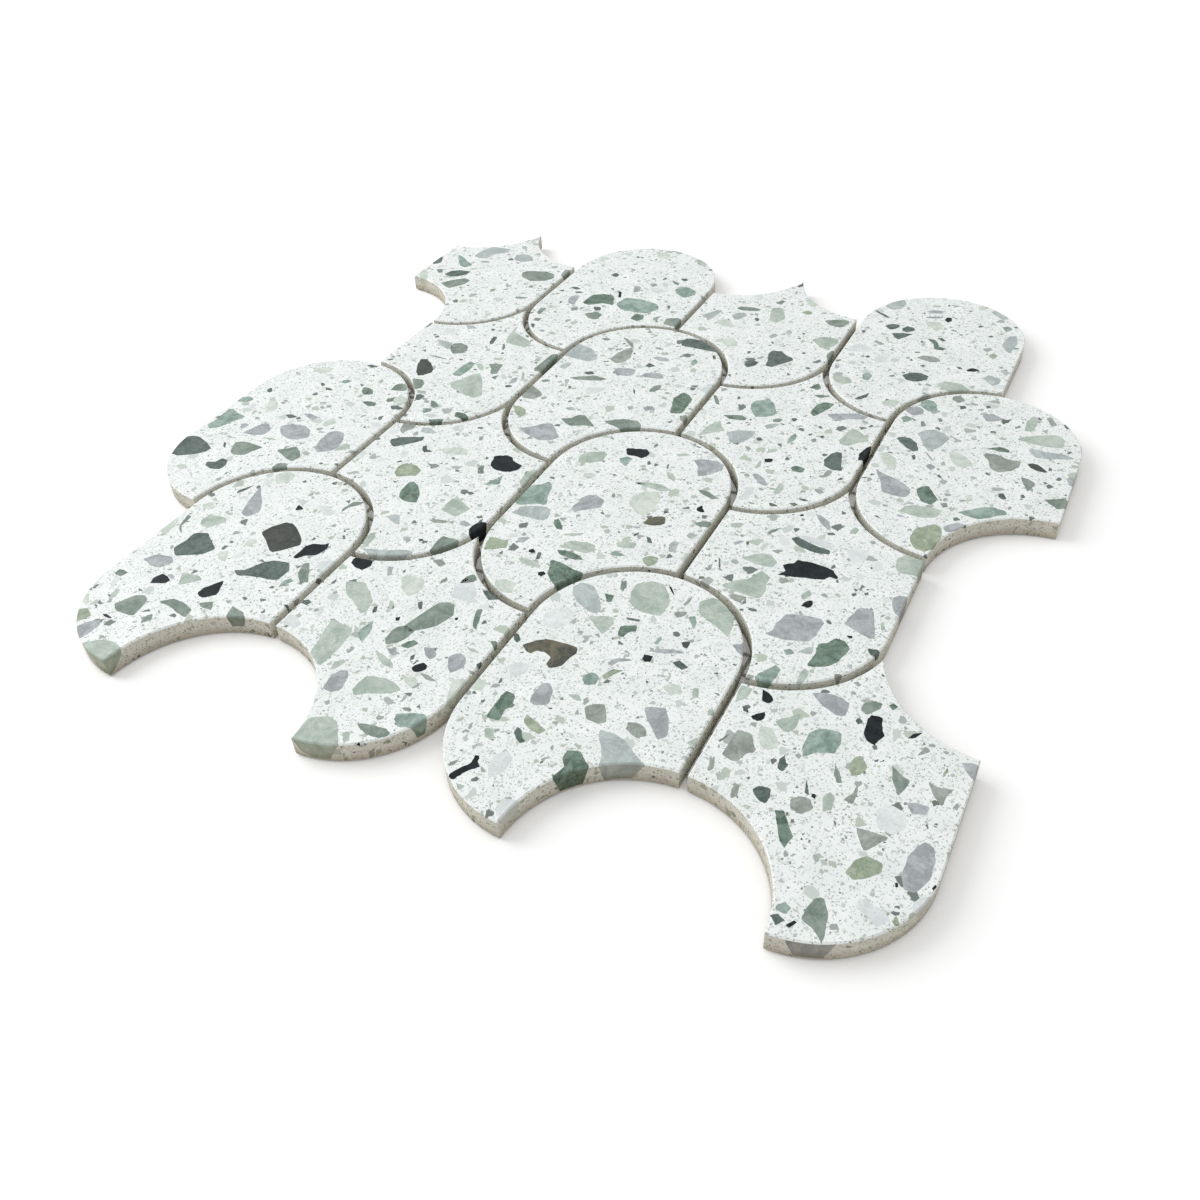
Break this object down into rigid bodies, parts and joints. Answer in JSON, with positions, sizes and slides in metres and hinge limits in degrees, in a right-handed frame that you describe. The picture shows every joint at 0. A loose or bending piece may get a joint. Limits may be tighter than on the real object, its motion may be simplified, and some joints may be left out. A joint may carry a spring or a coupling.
{
  "type": "terrazzo mosaic tile",
  "caption": "Flat mosaic sheet of interlocking fan-shaped terrazzo chips with an even open joint, carried by a backing net, for cladding walls and floors.",
  "frame": {"origin": "middle of the sheet, on the underside of its backing net", "axes": "+Z out of the polished face, +Y along the columns towards the domes of the scale chips, +X to the right"},
  "size_m": [0.2946, 0.3154, 0.0068],
  "materials": {
    "terrazzo": "honed white cement terrazzo with green, grey and black marble chips",
    "net": "coated glass-fibre yarn"
  },
  "bodies": {
    "root": {"scale_left_1": "terrazzo", "scale_left_2": "terrazzo", "tongue_left_1": "terrazzo", "tongue_left_2": "terrazzo", "tongue_left_3": "terrazzo", "tongue_left_4": "terrazzo", "scale_middle_1": "terrazzo", "scale_middle_2": "terrazzo", "scale_middle_3": "terrazzo", "scale_middle_4": "terrazzo", "tongue_right_1": "terrazzo", "tongue_right_2": "terrazzo", "tongue_right_3": "terrazzo", "tongue_right_4": "terrazzo", "scale_right_3": "terrazzo", "scale_right_4": "terrazzo", "net_warp": "net", "net_weft": "net"}
  },
  "joints": []
}
